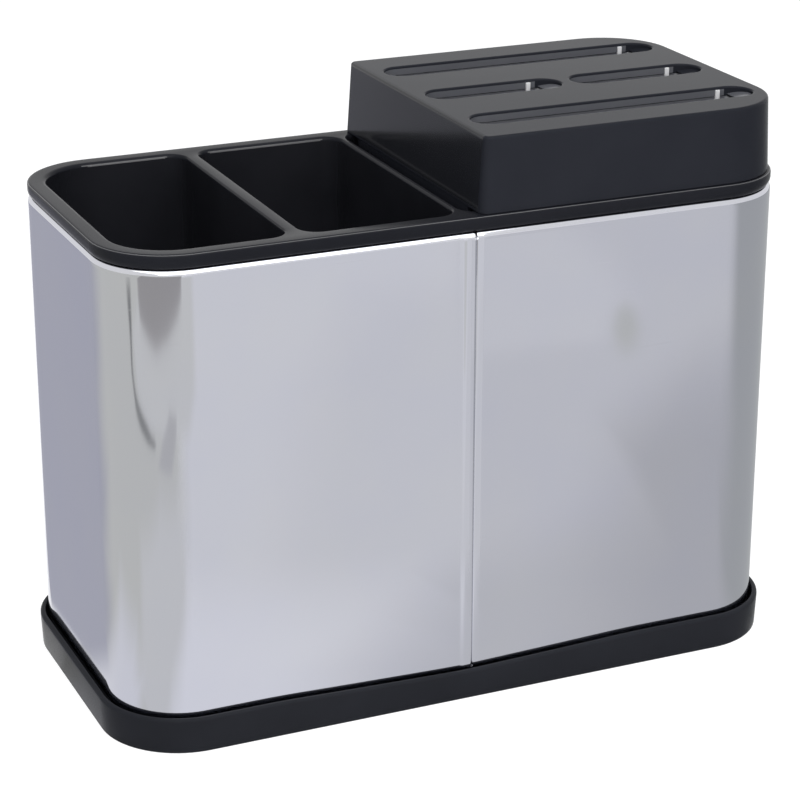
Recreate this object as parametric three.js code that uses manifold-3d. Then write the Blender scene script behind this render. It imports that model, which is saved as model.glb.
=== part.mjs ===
// Knife holder: a caddy of polished sheet steel round two utensil cups and a knife well,
// with a slotted knife block that lifts off its rim, standing in a low drip tray.
// Millimetres, +Z up. X runs along the length, Y from front to back, and the origin is the
// middle of the underside, on the table.

import * as THREE from "three";
import { mergeVertices } from "three/addons/utils/BufferGeometryUtils.js";
import Module from "manifold-3d";

const wasm = await Module();
wasm.setup();

// Fits between pieces
const fit = 0.3; // sideways gap of pieces that stay together
const looseFit = 0.5; // sideways gap of a piece that lifts out
const overrun = 5; // how far a cut runs past what it cuts

// Steel wrap
const wrapLength = 260;
const wrapWidth = 126;
const wrapCorner = 28;
const wrapHeight = 167;
const sheet = 0.8;
const lipRadius = 2; // outside radius of the rolled lips
const lipTurn = 2.4; // straight end of a lip, after its half turn
const seamX = 0.5;
const seamGap = 0.4;
const seamBend = 1.4; // outside radius of the bends at the seam
const seamFlange = 3.6;
const seamRelief = 0.5; // the full section stops this far short of the bends
const seamLipStop = 1.3; // from the middle of the seam to the ends of the lips
const seamLap = 1;

// Drip tray and its feet
const trayReach = 3.2; // how far the tray stands out beyond the steel
const trayLipWall = 2;
const trayHeight = 13;
const trayFloor = 2.2;
const trayDraft = 0.5;
const trayEdge = 1.3; // of the lip's top
const trayFootEdge = 0.6; // of the tray's underside
const trayFillet = 2;
const padHeight = 5.5;
const padLength = 22;
const padWidth = 7;
const padInset = 9; // from the steel's outer face to the nearer side of a pad
const padEndInset = 36; // from the steel's end to the middle of an end pad
const footRadius = 8;
const footHeight = 1.5;
const footProud = 0.5;
const footChamfer = 0.5;
const footInset = 24;

// Bottom frame
const frameFloor = 2.4;
const frameSetback = 0.4; // from the steel's outer face to the frame's edge
const frameWall = 2;
const frameWallHeight = 10;
const frameRib = 1.6;
const frameRibSpacing = 36;
const frameSlotWidth = 6;
const frameSlotLength = 26;
const frameSlotNear = 6; // from the middle line to the nearer row of drain slots
const frameSlotFar = 25;

// Top rim
const rimBand = 5; // height of the band seen above the steel
const rimWidth = 7;
const rimSkirt = 12;
const rimEdge = 1.2;
const mouthEdge = 1;
const mouthCorner = 7; // corners beside a bar
const wellCorner = 10; // left corners of the well, which leave room for the seam
const barWidth = 5.2; // between the two cups
const barNarrow = 2.7; // between the cups and the knife block
const blockLeft = 2.8; // the block's left wall at the rim
const blockGroove = 3.4; // between the narrow bar and that wall

// Cups and well
const cupWall = 2.2;
const cupFloor = 2.2;
const cupDraft = 2.6; // how far a wall leans in from top to bottom
const cupLift = 11.4; // of a cup's floor above the frame
const cupDrainWidth = 4;
const cupDrainLength = 16;
const cupDrainPitch = 11;
const bossRadius = 3.5;
const cupBossInset = 27; // from the steel's outer face to the middle of a cup's screw boss
const wellBossHeight = 8;

// Knife block
const blockRise = 27.3; // above the rim
const blockStep = 1.2; // from the steel's outer face to the block's foot
const blockDraft = 1.1;
const blockLeftDraft = 1.8;
const blockCorner = 3.5; // left corners
const blockEdge = 0.8;
const capWall = 2.2;
const capTop = 3.3;
const capTongue = 6; // how far the left wall hangs below the rim
const capRib = 1.6;
const capRibDepth = 7;
const slotWidth = 14.5;
const slotSideMargin = 15.45; // from the front and back of the block's top to the slots
const slotMargin = 5.3; // from the ends of the block's top to the slots
const slotBridge = 5; // between the two middle slots
const slotEdge = 0.6;
const sleeveWall = 1.5;
const sleeveTaper = 5; // how far an end wall leans in down to the rim
const sleeveDrop = 33; // below the rim
const sleeveFlange = 1.5;
const plateThickness = 2.2;
const plugWall = 1.8;
const plugDepth = 10;
const blockBossInset = 14; // from the ends of the block's top

// Screws
const screwRadius = 1.45;
const screwLength = 10;
const screwHeadRadius = 2.8;
const screwHeadHeight = 1.5;
const screwTip = 1.5;

// Fineness
const cornerSteps = 8; // of a large corner's quarter turn
const smallSteps = 4; // of a small one's
const drainSteps = 2;
const lipSteps = 5; // of a lip's half turn
const edgeSteps = 3;
const roundSteps = 16;
const leastRadius = 0.3;

// Heights of the stack, from the table up
const trayBottom = footProud;
const trayTop = trayBottom + trayHeight;
const trayFloorTop = trayBottom + trayFloor;
const frameBottom = trayFloorTop + padHeight;
const frameTop = frameBottom + frameFloor;
const wrapBottom = frameTop + fit;
const wrapTop = wrapBottom + wrapHeight;
const rimBottom = wrapTop + fit;
const rimTop = rimBottom + rimBand;
const skirtBottom = rimBottom - rimSkirt;
const blockTop = rimTop + blockRise;
const capUnder = blockTop - capTop;
const plateTop = rimTop + plateThickness;
const sleeveBottom = rimTop - sleeveDrop;

// A plan: a rectangle with four rounded corners, counterclockwise from the front left one.
function rounded(sides, corners) {
  const steps = corners.map((radius) => (radius > wrapCorner / 2 ? cornerSteps : smallSteps));
  return { ...sides, corners, steps };
}

// A plan moved inwards by a distance, or outwards by a negative one.
function inset(plan, distance) {
  return {
    left: plan.left + distance,
    right: plan.right - distance,
    front: plan.front + distance,
    back: plan.back - distance,
    corners: plan.corners.map((radius) => Math.max(radius - distance, leastRadius)),
    steps: plan.steps,
  };
}

// Plan of the steel's outer face, which every other plan follows
const wrapPlan = rounded(
  { left: -wrapLength / 2, right: wrapLength / 2, front: -wrapWidth / 2, back: wrapWidth / 2 },
  [wrapCorner, wrapCorner, wrapCorner, wrapCorner],
);

// The outline of a plan, counterclockwise from the front left corner, with each point's outward normal.
function outline(plan) {
  const [frontLeft, frontRight, backRight, backLeft] = plan.corners;
  const centres = [
    [plan.left + frontLeft, plan.front + frontLeft, frontLeft],
    [plan.right - frontRight, plan.front + frontRight, frontRight],
    [plan.right - backRight, plan.back - backRight, backRight],
    [plan.left + backLeft, plan.back - backLeft, backLeft],
  ];
  const points = [];
  centres.forEach(([x, y, radius], corner) => {
    const steps = plan.steps[corner];
    for (let i = 0; i <= steps; i++) {
      const angle = Math.PI * (1 + (corner + i / steps) / 2);
      const normal = new THREE.Vector2(Math.cos(angle), Math.sin(angle));
      points.push({ at: new THREE.Vector2(x, y).addScaledVector(normal, radius), normal });
    }
  });
  return points;
}

function planPoints(plan) {
  return outline(plan).map((point) => point.at);
}

// The outline of a slot with round ends, along X.
function slotPoints(left, right, middle, width, steps = smallSteps) {
  const radius = width / 2;
  const points = [];
  for (const [x, start] of [[left + radius, 0.5], [right - radius, 1.5]]) {
    for (let i = 0; i <= 2 * steps; i++) {
      const angle = Math.PI * (start + i / (2 * steps));
      points.push(new THREE.Vector2(x + radius * Math.cos(angle), middle + radius * Math.sin(angle)));
    }
  }
  return points;
}

function prism(points, bottom, top) {
  const shape = new THREE.Shape(points);
  const geometry = new THREE.ExtrudeGeometry(shape, { depth: top - bottom, bevelEnabled: false });
  return solid(geometry.translate(0, 0, bottom));
}

// A solid through outlines of as many points each, from the lowest level to the highest.
function loft(levels) {
  const count = levels[0].points.length;
  const positions = levels.flatMap(({ points, z }) => points.flatMap((p) => [p.x, p.y, z]));
  const index = [];
  for (let level = 0; level + 1 < levels.length; level++) {
    for (let i = 0; i < count; i++) {
      const a = level * count + i;
      const b = level * count + ((i + 1) % count);
      index.push(a, b, b + count, a, b + count, a + count);
    }
  }
  const last = (levels.length - 1) * count;
  for (const [a, b, c] of THREE.ShapeUtils.triangulateShape(levels[0].points, [])) index.push(c, b, a);
  for (const [a, b, c] of THREE.ShapeUtils.triangulateShape(levels.at(-1).points, [])) {
    index.push(last + a, last + b, last + c);
  }
  const geometry = new THREE.BufferGeometry();
  geometry.setAttribute("position", new THREE.Float32BufferAttribute(positions, 3));
  geometry.setIndex(index);
  return solid(geometry);
}

// Levels that follow one plan: each has a height and how far its outline is moved inwards.
function planLoft(plan, steps) {
  return loft(steps.map(([z, distance]) => ({ z, points: planPoints(inset(plan, distance)) })));
}

// Steps of a rounded top edge: height below the top, and distance in from the side.
function roundedTop(top, radius, side) {
  return Array.from({ length: edgeSteps + 1 }, (_, i) => {
    const angle = (Math.PI / 2) * (i / edgeSteps);
    return [top - radius * (1 - Math.sin(angle)), side + radius * (1 - Math.cos(angle))];
  });
}

// The cut that opens a mouth and rounds its top edge: it flares as it nears the top.
function mouthCut(plan, bottom, top, radius) {
  const flare = Array.from({ length: edgeSteps + 1 }, (_, i) => {
    const angle = (Math.PI / 2) * (i / edgeSteps);
    return [top - radius * (1 - Math.sin(angle)), -radius * (1 - Math.cos(angle))];
  });
  return planLoft(plan, [[bottom, 0], ...flare, [top + overrun, -radius]]);
}

function cylinder(radius, bottom, top, x, y) {
  const geometry = new THREE.CylinderGeometry(radius, radius, top - bottom, roundSteps);
  geometry.rotateX(Math.PI / 2);
  return solid(geometry.translate(x, y, (bottom + top) / 2));
}

function turned(profile, x, y, z) {
  const points = profile.map(([radius, height]) => new THREE.Vector2(radius, height));
  const geometry = new THREE.LatheGeometry(points, roundSteps);
  geometry.rotateX(Math.PI / 2);
  return solid(geometry.translate(x, y, z));
}

function block(left, right, front, back, bottom, top) {
  const geometry = new THREE.BoxGeometry(right - left, back - front, top - bottom);
  return solid(geometry.translate((left + right) / 2, (front + back) / 2, (bottom + top) / 2));
}

// A closed geometry as a solid that can be joined and cut.
function solid(geometry) {
  const bare = geometry.clone();
  bare.deleteAttribute("normal");
  bare.deleteAttribute("uv");
  const merged = mergeVertices(bare, leastRadius / 1e4);
  const corners = merged.index.array;
  const kept = [];
  for (let i = 0; i < corners.length; i += 3) {
    const [a, b, c] = corners.slice(i, i + 3);
    if (a !== b && b !== c && a !== c) kept.push(a, b, c);
  }
  return new wasm.Manifold(
    new wasm.Mesh({
      numProp: 3,
      vertProperties: merged.attributes.position.array,
      triVerts: new Uint32Array(kept),
    }),
  );
}

function cut(body, tools) {
  return tools.reduce((rest, tool) => rest.subtract(tool), body);
}

function joined(bodies) {
  return bodies.reduce((sum, body) => sum.add(body));
}

function mesh(name, body, material) {
  const made = body.getMesh();
  const geometry = new THREE.BufferGeometry();
  geometry.setAttribute("position", new THREE.BufferAttribute(made.vertProperties, 3));
  geometry.setIndex(new THREE.BufferAttribute(made.triVerts, 1));
  const flat = geometry.toNonIndexed();
  flat.computeVertexNormals();
  const part = new THREE.Mesh(flat, material);
  part.name = name;
  return part;
}

const steel = () => new THREE.MeshStandardMaterial({ color: 0xb8b9c2, roughness: 0.22, metalness: 1 });
const satinBlack = () => new THREE.MeshStandardMaterial({ color: 0x2b2c30, roughness: 0.45 });
const glossBlack = () => new THREE.MeshStandardMaterial({ color: 0x141518, roughness: 0.15 });
const rubber = () => new THREE.MeshStandardMaterial({ color: 0x1c1c1e, roughness: 0.9 });
const zincSteel = () => new THREE.MeshStandardMaterial({ color: 0x9a9da3, roughness: 0.35, metalness: 1 });

// Screw: countersunk head down, shank up into its boss. Its origin is the middle of the head's face.
function screw(name, x, y, z) {
  const neck = screwHeadHeight;
  const end = screwLength;
  const profile = [
    [0, 0],
    [screwHeadRadius, 0],
    [screwRadius, neck],
    [screwRadius, end - screwTip],
    [0, end],
  ];
  return mesh(name, turned(profile, x, y, z), zincSteel());
}

// The hole that a screw passes through in the piece that it holds, with its countersink.
function screwHole(x, y, bottom) {
  const wide = screwHeadRadius + fit;
  const narrow = screwRadius + fit;
  const profile = [
    [0, -overrun],
    [wide, -overrun],
    [wide, 0],
    [narrow, screwHeadHeight],
    [narrow, screwHeadHeight + overrun],
    [0, screwHeadHeight + overrun],
  ];
  return turned(profile, x, y, bottom);
}

// The blind hole that a screw bites in, from the foot of a boss.
function pilotHole(x, y, bottom, screwFace) {
  const top = screwFace + screwLength + fit;
  return cylinder(screwRadius + fit, bottom - overrun, top, x, y);
}

// Places that more than one piece needs
const cupMouths = (() => {
  const whole = inset(wrapPlan, rimWidth);
  const narrowRight = blockLeft - blockGroove;
  const middleRight = narrowRight - barNarrow;
  const cupLength = (middleRight - barWidth - whole.left) / 2;
  const leftRight = whole.left + cupLength;
  const outer = wrapCorner - rimWidth;
  const small = mouthCorner;
  const middleSides = { ...whole, left: leftRight + barWidth, right: middleRight };
  return {
    left: rounded({ ...whole, right: leftRight }, [outer, small, small, outer]),
    middle: rounded(middleSides, [small, small, small, small]),
    knives: rounded({ ...whole, left: narrowRight }, [small, outer, outer, small]),
  };
})();

const wellPlan = rounded(
  { ...cupMouths.knives, left: cupMouths.middle.right + 2 * cupWall + fit },
  [wellCorner, wrapCorner - rimWidth, wrapCorner - rimWidth, wellCorner],
);

// The block's foot on the rim. Its left wall leans more than the other three.
const blockPlan = rounded(
  { ...inset(wrapPlan, blockStep), left: blockLeft },
  [blockCorner, wrapCorner - blockStep, wrapCorner - blockStep, blockCorner],
);

const blockTopLeft = blockLeft + blockLeftDraft;
const blockTopRight = blockPlan.right - blockDraft;
const slotPitch = blockPlan.back - blockDraft - slotSideMargin - slotWidth / 2;

const slots = (() => {
  const left = blockTopLeft + slotMargin;
  const right = blockTopRight - slotMargin;
  const half = (right - left - slotBridge) / 2;
  return {
    back: { left, right, middle: slotPitch },
    middle_left: { left, right: left + half, middle: 0 },
    middle_right: { left: right - half, right, middle: 0 },
    front: { left, right, middle: -slotPitch },
  };
})();

const middleX = (plan) => (plan.left + plan.right) / 2;
const cupScrewPlaces = [cupMouths.left, cupMouths.middle].flatMap((plan) =>
  [wrapPlan.front + cupBossInset, wrapPlan.back - cupBossInset].map((y) => [middleX(plan), y]),
);
const wellScrewPlaces = [-slotPitch / 2, slotPitch / 2].map((y) => [middleX(wellPlan), y]);
const blockScrewPlaces = [blockTopLeft + blockBossInset, blockTopRight - blockBossInset].flatMap((x) =>
  [-slotPitch / 2, slotPitch / 2].map((y) => [x, y]),
);

const footPlaces = [
  ["front_left", -1, -1],
  ["front_right", 1, -1],
  ["back_left", -1, 1],
  ["back_right", 1, 1],
].map(([name, sideX, sideY]) => ({
  name,
  x: sideX * (wrapLength / 2 - footInset),
  y: sideY * (wrapWidth / 2 - footInset),
}));

// Drip tray: a low pan whose lip stands outside the foot of the steel, with pads that carry the caddy.
function baseTray() {
  const outside = inset(wrapPlan, -trayReach);
  const basin = inset(wrapPlan, trayLipWall - trayReach);
  const body = planLoft(outside, [
    [trayBottom, trayDraft + trayFootEdge],
    [trayBottom + trayFootEdge, trayDraft],
    ...roundedTop(trayTop, trayEdge, 0),
  ]);
  const hollow = planLoft(basin, [
    [trayFloorTop, trayFillet],
    [trayFloorTop + trayFillet / 3, trayFillet / 3],
    [trayFloorTop + trayFillet, 0],
    [trayTop + overrun, 0],
  ]);
  const padY = wrapWidth / 2 - padInset - padWidth / 2;
  const padX = wrapLength / 2 - padEndInset;
  const pads = [-padX, 0, padX].flatMap((x) =>
    [-padY, padY].map((y) => {
      const points = slotPoints(x - padLength / 2, x + padLength / 2, y, padWidth);
      return prism(points, trayFloorTop - trayFloor / 2, trayFloorTop + padHeight);
    }),
  );
  const sockets = footPlaces.map(({ x, y }) => {
    return cylinder(footRadius + fit, trayBottom - overrun, trayBottom + footHeight - footProud, x, y);
  });
  return mesh("base_tray", cut(joined([cut(body, [hollow]), ...pads]), sockets), satinBlack());
}

function feet() {
  const profile = [
    [0, 0],
    [footRadius - footChamfer, 0],
    [footRadius, footChamfer],
    [footRadius, footHeight],
    [0, footHeight],
  ];
  return footPlaces.map(({ name, x, y }) => mesh("foot_" + name, turned(profile, x, y, 0), rubber()));
}

// Bottom frame: a plate under the cups and the steel's lower lip, with an upright wall inside that lip.
function bottomFrame() {
  const plate = planLoft(wrapPlan, [
    [frameBottom, frameSetback + frameSetback],
    [frameBottom + frameSetback, frameSetback],
    [frameTop, frameSetback],
  ]);
  const wallOutside = 2 * lipRadius + looseFit;
  const wallTop = frameTop + frameWallHeight;
  const wall = planLoft(wrapPlan, [
    [frameTop - frameFloor / 2, wallOutside],
    [wallTop - frameSetback, wallOutside],
    [wallTop, wallOutside + frameSetback],
  ]);
  const room = planLoft(wrapPlan, [
    [frameTop, wallOutside + frameWall],
    [wallTop + overrun, wallOutside + frameWall],
  ]);
  const ribLeft = wrapPlan.left + wallOutside + frameWall / 2;
  const ribRight = cupMouths.middle.right - cupDraft;
  const ribFoot = frameTop - frameFloor / 2;
  const ribTop = frameTop + cupLift - fit;
  const ribs = [-frameRibSpacing / 2, frameRibSpacing / 2].map((y) => {
    return block(ribLeft, ribRight, y - frameRib / 2, y + frameRib / 2, ribFoot, ribTop);
  });
  const over = [cupMouths.left, cupMouths.middle, halfOf(wellPlan, 0), halfOf(wellPlan, 1)];
  const drains = over.flatMap(frameDrains);
  const holes = [...cupScrewPlaces, ...wellScrewPlaces].map(([x, y]) => screwHole(x, y, frameBottom));
  const notch = seamNotch(frameTop + fit, wallTop + overrun);
  const body = joined([plate, cut(wall, [room, notch]), ...ribs]);
  return mesh("bottom_frame", cut(body, [...drains, ...holes]), satinBlack());
}

// The left or the right half of a plan.
function halfOf(plan, side) {
  const middle = (plan.left + plan.right) / 2;
  return side ? { ...plan, left: middle } : { ...plan, right: middle };
}

// Drain slots of the bottom frame under one cup, clear of the ribs and the screws.
function frameDrains(plan) {
  const left = (plan.left + plan.right - frameSlotLength) / 2;
  return [-frameSlotFar, -frameSlotNear, frameSlotNear, frameSlotFar].map((y) => {
    const points = slotPoints(left, left + frameSlotLength, y, frameSlotWidth, drainSteps);
    return prism(points, frameBottom - overrun, frameTop + overrun);
  });
}

// Section of the steel: how far in from the outer face, and height, up the outside and down the inside.
function wrapSection() {
  const inner = lipRadius - sheet;
  const points = [];
  const turn = (radius, centreZ, from, to) => {
    for (let i = 0; i <= lipSteps; i++) {
      const angle = from + ((to - from) * i) / lipSteps;
      const x = radius * Math.cos(angle) - lipRadius;
      points.push(new THREE.Vector2(x, centreZ + radius * Math.sin(angle)));
    }
  };
  const low = wrapBottom + lipRadius;
  const high = wrapTop - lipRadius;
  turn(lipRadius, high, 0, Math.PI);
  points.push(new THREE.Vector2(-2 * lipRadius, high - lipTurn));
  points.push(new THREE.Vector2(sheet - 2 * lipRadius, high - lipTurn));
  turn(inner, high, Math.PI, 0);
  turn(inner, low, 0, -Math.PI);
  points.push(new THREE.Vector2(sheet - 2 * lipRadius, low + lipTurn));
  points.push(new THREE.Vector2(-2 * lipRadius, low + lipTurn));
  turn(lipRadius, low, -Math.PI, 0);
  return points;
}

// The steel's path round the caddy, from the right of the seam to its left.
function wrapPath() {
  const points = outline(wrapPlan);
  const gap = seamGap / 2 + seamBend + seamRelief;
  const front = new THREE.Vector2(0, -1);
  const corner = wrapPlan.steps[0] + 1;
  return [
    { at: new THREE.Vector2(seamX + gap, wrapPlan.front), normal: front },
    ...points.slice(corner),
    ...points.slice(0, corner),
    { at: new THREE.Vector2(seamX - gap, wrapPlan.front), normal: front },
  ];
}

// A closed section carried along an open path, with a flat end at each side.
function swept(section, path) {
  const count = section.length;
  const positions = path.flatMap(({ at, normal }) =>
    section.flatMap((p) => [at.x + normal.x * p.x, at.y + normal.y * p.x, p.y]),
  );
  const index = [];
  for (let step = 0; step + 1 < path.length; step++) {
    for (let i = 0; i < count; i++) {
      const a = step * count + i;
      const b = step * count + ((i + 1) % count);
      index.push(a, a + count, b + count, a, b + count, b);
    }
  }
  const last = (path.length - 1) * count;
  for (const [a, b, c] of THREE.ShapeUtils.triangulateShape(section, [])) {
    index.push(a, b, c, last + c, last + b, last + a);
  }
  const geometry = new THREE.BufferGeometry();
  geometry.setAttribute("position", new THREE.Float32BufferAttribute(positions, 3));
  geometry.setIndex(index);
  return solid(geometry);
}

// One side of the seam: the sheet turns in through a small bend and ends in a flange.
function seamEdge(side) {
  const front = wrapPlan.front;
  const face = seamX + (side * seamGap) / 2;
  const straight = face + side * seamBend;
  const far = straight + side * (seamRelief + seamLap);
  const arc = (radius, from, to) =>
    Array.from({ length: smallSteps + 1 }, (_, i) => {
      const angle = ((from + ((to - from) * i) / smallSteps) * Math.PI) / 2;
      const x = straight - side * radius * Math.cos(angle);
      return new THREE.Vector2(x, front + seamBend - radius * Math.sin(angle));
    });
  const points = [
    new THREE.Vector2(far, front),
    ...arc(seamBend, 1, 0),
    new THREE.Vector2(face, front + seamBend + seamFlange),
    new THREE.Vector2(face + side * sheet, front + seamBend + seamFlange),
    ...arc(seamBend - sheet, 0, 1),
    new THREE.Vector2(far, front + sheet),
  ];
  return prism(points, wrapBottom + lipRadius, wrapTop - lipRadius);
}

// Room for the seam's two flanges in a wall that runs inside the steel.
function seamNotch(bottom, top) {
  const half = seamGap / 2 + seamBend + looseFit;
  const front = wrapPlan.front + 2 * lipRadius;
  const back = wrapPlan.front + seamBend + seamFlange + looseFit;
  return block(seamX - half, seamX + half, front, back, bottom, top);
}

// Section of the upper lip alone.
function lipSection() {
  const centre = wrapTop - lipRadius;
  const turn = (radius, from, to) =>
    Array.from({ length: lipSteps + 1 }, (_, i) => {
      const angle = from + ((to - from) * i) / lipSteps;
      return new THREE.Vector2(radius * Math.cos(angle) - lipRadius, centre + radius * Math.sin(angle));
    });
  return [
    ...turn(lipRadius, 0, Math.PI),
    new THREE.Vector2(-2 * lipRadius, centre - lipTurn),
    new THREE.Vector2(sheet - 2 * lipRadius, centre - lipTurn),
    ...turn(lipRadius - sheet, Math.PI, 0),
  ];
}

// One end of the upper lip: it runs on past the bend and stops short of the seam.
function lipEnd(side) {
  const near = seamX + side * seamLipStop;
  const far = seamX + side * (seamGap / 2 + seamBend + seamRelief + seamLap);
  const path = [Math.min(near, far), Math.max(near, far)].map((x) => ({
    at: new THREE.Vector2(x, wrapPlan.front),
    normal: new THREE.Vector2(0, -1),
  }));
  return swept(lipSection(), path);
}

function steelWrap() {
  const around = swept(wrapSection(), wrapPath());
  const body = joined([around, seamEdge(-1), seamEdge(1), lipEnd(-1), lipEnd(1)]);
  return mesh("steel_wrap", body, steel());
}

// Top rim: the band over the steel's lip, a skirt inside the lip, and three mouths with bars between.
function topRim() {
  const band = planLoft(wrapPlan, [
    [rimBottom, frameSetback],
    [rimBottom + frameSetback, 0],
    ...roundedTop(rimTop, rimEdge, 0),
  ]);
  const skirt = planLoft(wrapPlan, [
    [skirtBottom, 2 * lipRadius + looseFit],
    [rimBottom + rimBand / 2, 2 * lipRadius + looseFit],
  ]);
  const mouths = Object.values(cupMouths).map((plan) => {
    return mouthCut(plan, skirtBottom - overrun, rimTop, mouthEdge);
  });
  const notch = seamNotch(skirtBottom - overrun, wrapTop - lipRadius + fit);
  return mesh("top_rim", cut(joined([band, skirt]), [...mouths, notch]), satinBlack());
}

// A deep cup under one mouth of the rim: flush with the mouth at its top and narrower at its floor.
function cup(name, plan, floorBottom, bosses, bossSpan, drains) {
  const top = skirtBottom;
  const outside = planLoft(plan, [
    [floorBottom, cupDraft - cupWall + cupFloor],
    [floorBottom + cupFloor, cupDraft - cupWall],
    [top, -cupWall],
  ]);
  const floorTop = floorBottom + cupFloor;
  const inside = planLoft(plan, [
    [floorTop, cupDraft + cupFloor],
    [floorTop + cupFloor, cupDraft],
    [top, 0],
    [top + overrun, 0],
  ]);
  const posts = bosses.map(([x, y]) => cylinder(bossRadius, bossSpan[0], bossSpan[1], x, y));
  const holes = bosses.map(([x, y]) => pilotHole(x, y, frameTop, frameBottom));
  return mesh(name, cut(joined([cut(outside, [inside]), ...posts]), [...holes, ...drains]), satinBlack());
}

// Drain slots in a floor, side by side along Y round a middle.
function floorDrains(x, middles, floorBottom) {
  return middles.map((y) => {
    const points = slotPoints(x - cupDrainLength / 2, x + cupDrainLength / 2, y, cupDrainWidth, drainSteps);
    return prism(points, floorBottom - fit, floorBottom + cupFloor + fit);
  });
}

function cups() {
  const floorBottom = frameTop + cupLift;
  const span = [frameTop, floorBottom + cupFloor / 2];
  const middles = [-2, -1, 0, 1, 2].map((i) => i * cupDrainPitch);
  return [cupMouths.left, cupMouths.middle].map((plan, i) => {
    const x = (plan.left + plan.right) / 2;
    const places = cupScrewPlaces.slice(2 * i, 2 * i + 2);
    const name = ["utensil_cup_left", "utensil_cup_middle"][i];
    return cup(name, plan, floorBottom, places, span, floorDrains(x, middles, floorBottom));
  });
}

function knifeWell() {
  const span = [frameTop + cupFloor / 2, frameTop + cupFloor + wellBossHeight];
  const drains = Object.values(slots).flatMap(({ left, right, middle }) => {
    const length = right - left;
    const places = length > 2 * slotPitch ? [0.25, 0.75] : [0.5];
    return places.flatMap((share) => floorDrains(left + share * length, [middle], frameTop));
  });
  return cup("knife_well", wellPlan, frameTop, wellScrewPlaces, span, drains);
}

// Outline of the block at a height above the rim, moved inwards by a distance.
function blockOutline(z, distance) {
  const lean = (z - rimTop) / blockRise;
  const plan = inset(blockPlan, lean * blockDraft + distance);
  plan.left = blockPlan.left + lean * blockLeftDraft + distance;
  return planPoints(plan);
}

function blockLoft(steps) {
  return loft(steps.map(([z, distance]) => ({ z, points: blockOutline(z, distance) })));
}

// A slot through the cap's top, with a rounded upper edge.
function slotCut({ left, right, middle }) {
  const level = (z, grow) => {
    return { z, points: slotPoints(left - grow, right + grow, middle, slotWidth + 2 * grow) };
  };
  const flare = Array.from({ length: edgeSteps + 1 }, (_, i) => {
    const angle = (Math.PI / 2) * (i / edgeSteps);
    return level(blockTop - slotEdge * (1 - Math.sin(angle)), slotEdge * (1 - Math.cos(angle)));
  });
  return loft([level(capUnder - overrun, 0), ...flare, level(blockTop + overrun, slotEdge)]);
}

// Block cap: the slotted top and its walls, with screw bosses and ribs under the top.
function blockCap() {
  const outside = blockLoft([[rimTop, 0], ...roundedTop(blockTop, blockEdge, 0)]);
  const inside = blockLoft([[rimTop - overrun, capWall], [capUnder, capWall]]);
  const tongueEnd = cupMouths.knives.back - mouthCorner;
  const tongueRight = blockLeft + capWall;
  const tongue = block(blockLeft, tongueRight, -tongueEnd, tongueEnd, rimTop - capTongue, rimTop + capTop);
  const bossTop = capUnder + capTop / 2;
  const bosses = blockScrewPlaces.map(([x, y]) => cylinder(bossRadius, plateTop, bossTop, x, y));
  const ribs = [-slotPitch / 2, slotPitch / 2].map((y) =>
    block(
      blockTopLeft + capWall / 2,
      blockTopRight - capWall / 2,
      y - capRib / 2,
      y + capRib / 2,
      capUnder - capRibDepth,
      capUnder + capTop / 2,
    ),
  );
  const pilots = blockScrewPlaces.map(([x, y]) => pilotHole(x, y, plateTop, rimTop));
  const body = joined([cut(outside, [inside]), tongue, ...bosses, ...ribs]);
  return mesh("block_cap", cut(body, [...Object.values(slots).map(slotCut), ...pilots]), satinBlack());
}

// One blade sleeve: as wide as its slot, its ends leaning in down to the rim, with a flange on the plate.
function sleeve(name, { left, right, middle }) {
  const level = (z, lean, grow) => ({
    z,
    points: slotPoints(left + lean - grow, right - lean + grow, middle, slotWidth + 2 * grow),
  });
  const top = capUnder - fit;
  const hollow = loft([
    level(sleeveBottom - overrun, sleeveTaper, fit),
    level(plateTop, sleeveTaper, fit),
    level(top, 0, fit),
    level(top + overrun, 0, fit),
  ]);
  const outer = fit + sleeveWall;
  const wall = loft([
    level(sleeveBottom, sleeveTaper, outer),
    level(plateTop, sleeveTaper, outer),
    level(top, 0, outer),
  ]);
  const flange = loft([
    level(plateTop, sleeveTaper, outer + sleeveFlange),
    level(plateTop + sleeveFlange, sleeveTaper, outer + sleeveFlange),
  ]);
  return mesh("blade_sleeve_" + name, cut(joined([wall, flange]), [hollow]), glossBlack());
}

// Guide plate: closes the block's underside round the sleeves and plugs into the knife mouth.
function guidePlate() {
  const plate = blockLoft([[rimTop, capWall + fit], [plateTop, capWall + fit]]);
  const plugPlan = { ...inset(cupMouths.knives, looseFit), left: blockLeft + capWall + fit };
  const plug = planLoft(plugPlan, [
    [rimTop - plugDepth, leastRadius],
    [rimTop - plugDepth + leastRadius, 0],
    [rimTop + plateThickness / 2, 0],
  ]);
  const room = planLoft(plugPlan, [[rimTop - plugDepth - overrun, plugWall], [rimTop, plugWall]]);
  const openings = Object.values(slots).map(({ left, right, middle }) => {
    const grow = sleeveWall + 2 * fit;
    const lean = sleeveTaper - grow;
    const points = slotPoints(left + lean, right - lean, middle, slotWidth + 2 * grow);
    return prism(points, rimTop - overrun, plateTop + overrun);
  });
  const holes = blockScrewPlaces.map(([x, y]) => screwHole(x, y, rimTop));
  return mesh("guide_plate", cut(joined([plate, cut(plug, [room])]), [...openings, ...holes]), satinBlack());
}

const tray = new THREE.Group();
tray.add(baseTray(), ...feet());

const caddy = new THREE.Group();
caddy.add(bottomFrame(), steelWrap(), topRim(), ...cups(), knifeWell());
[...cupScrewPlaces, ...wellScrewPlaces].forEach(([x, y], i) => {
  caddy.add(screw("frame_screw_" + (i + 1), x, y, frameBottom));
});

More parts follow.
